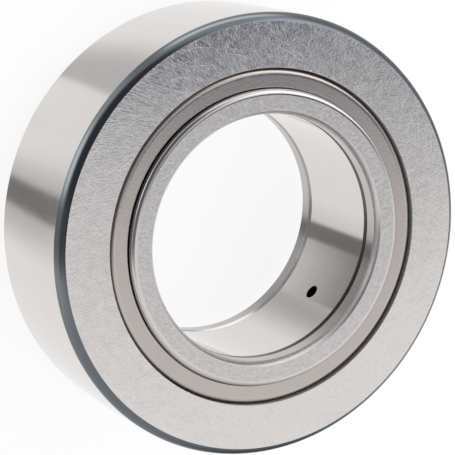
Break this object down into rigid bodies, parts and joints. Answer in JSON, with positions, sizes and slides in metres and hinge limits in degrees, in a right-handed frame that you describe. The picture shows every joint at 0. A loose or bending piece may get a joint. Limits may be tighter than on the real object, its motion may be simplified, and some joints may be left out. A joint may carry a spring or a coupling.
{
  "type": "yoke type cam follower bearing",
  "caption": "Thick-walled roller bearing whose crowned outer ring rolls on a cam or track, with a plain through bore and a flange ring at each side.",
  "frame": {"origin": "centre of the bearing: on the axis of the bore, halfway between the two flange ring faces", "axes": "+Z along the axis of rotation, out of the front face that the picture shows; +Y from the axis through the oil hole of the inner ring"},
  "size_m": [0.09, 0.09, 0.032],
  "materials": {
    "ring_steel": "ground bearing steel, satin, with blackened unground corners",
    "bore_steel": "fine ground bearing steel, soft gloss",
    "flange_steel": "fine matte ground steel, grey",
    "sheet_steel": "pressed sheet steel, matte, warm grey",
    "roller_steel": "polished hardened steel"
  },
  "bodies": {
    "inner_unit": {"inner_ring": "bore_steel", "flange_ring_front": "flange_steel", "flange_ring_rear": "flange_steel"},
    "outer_unit": {"outer_ring": "ring_steel", "angle_ring_front": "sheet_steel", "angle_ring_rear": "sheet_steel"},
    "front_roller_row": {"roller_front_01": "roller_steel", "roller_front_02": "roller_steel", "roller_front_03": "roller_steel", "roller_front_04": "roller_steel", "roller_front_05": "roller_steel", "roller_front_06": "roller_steel", "roller_front_07": "roller_steel", "roller_front_08": "roller_steel", "roller_front_09": "roller_steel", "roller_front_10": "roller_steel", "roller_front_11": "roller_steel", "roller_front_12": "roller_steel", "roller_front_13": "roller_steel", "roller_front_14": "roller_steel", "roller_front_15": "roller_steel", "roller_front_16": "roller_steel", "roller_front_17": "roller_steel", "roller_front_18": "roller_steel", "roller_front_19": "roller_steel", "roller_front_20": "roller_steel", "roller_front_21": "roller_steel", "roller_front_22": "roller_steel", "roller_front_23": "roller_steel", "roller_front_24": "roller_steel", "roller_front_25": "roller_steel"},
    "rear_roller_row": {"roller_rear_01": "roller_steel", "roller_rear_02": "roller_steel", "roller_rear_03": "roller_steel", "roller_rear_04": "roller_steel", "roller_rear_05": "roller_steel", "roller_rear_06": "roller_steel", "roller_rear_07": "roller_steel", "roller_rear_08": "roller_steel", "roller_rear_09": "roller_steel", "roller_rear_10": "roller_steel", "roller_rear_11": "roller_steel", "roller_rear_12": "roller_steel", "roller_rear_13": "roller_steel", "roller_rear_14": "roller_steel", "roller_rear_15": "roller_steel", "roller_rear_16": "roller_steel", "roller_rear_17": "roller_steel", "roller_rear_18": "roller_steel", "roller_rear_19": "roller_steel", "roller_rear_20": "roller_steel", "roller_rear_21": "roller_steel", "roller_rear_22": "roller_steel", "roller_rear_23": "roller_steel", "roller_rear_24": "roller_steel", "roller_rear_25": "roller_steel"}
  },
  "joints": [
    {"name": "outer_spin", "type": "hinge", "parent": "inner_unit", "child": "outer_unit", "pos_m": [0, 0, 0], "axis": [0, 0, 1], "continuous": true},
    {"name": "front_row_orbit", "type": "hinge", "parent": "inner_unit", "child": "front_roller_row", "pos_m": [0, 0, 0], "axis": [0, 0, 1], "continuous": true},
    {"name": "rear_row_orbit", "type": "hinge", "parent": "inner_unit", "child": "rear_roller_row", "pos_m": [0, 0, 0], "axis": [0, 0, 1], "continuous": true}
  ],
  "couplings": [
    {"joint": "front_row_orbit", "follows": "outer_spin", "ratio": 0.5624},
    {"joint": "rear_row_orbit", "follows": "outer_spin", "ratio": 0.5624}
  ]
}
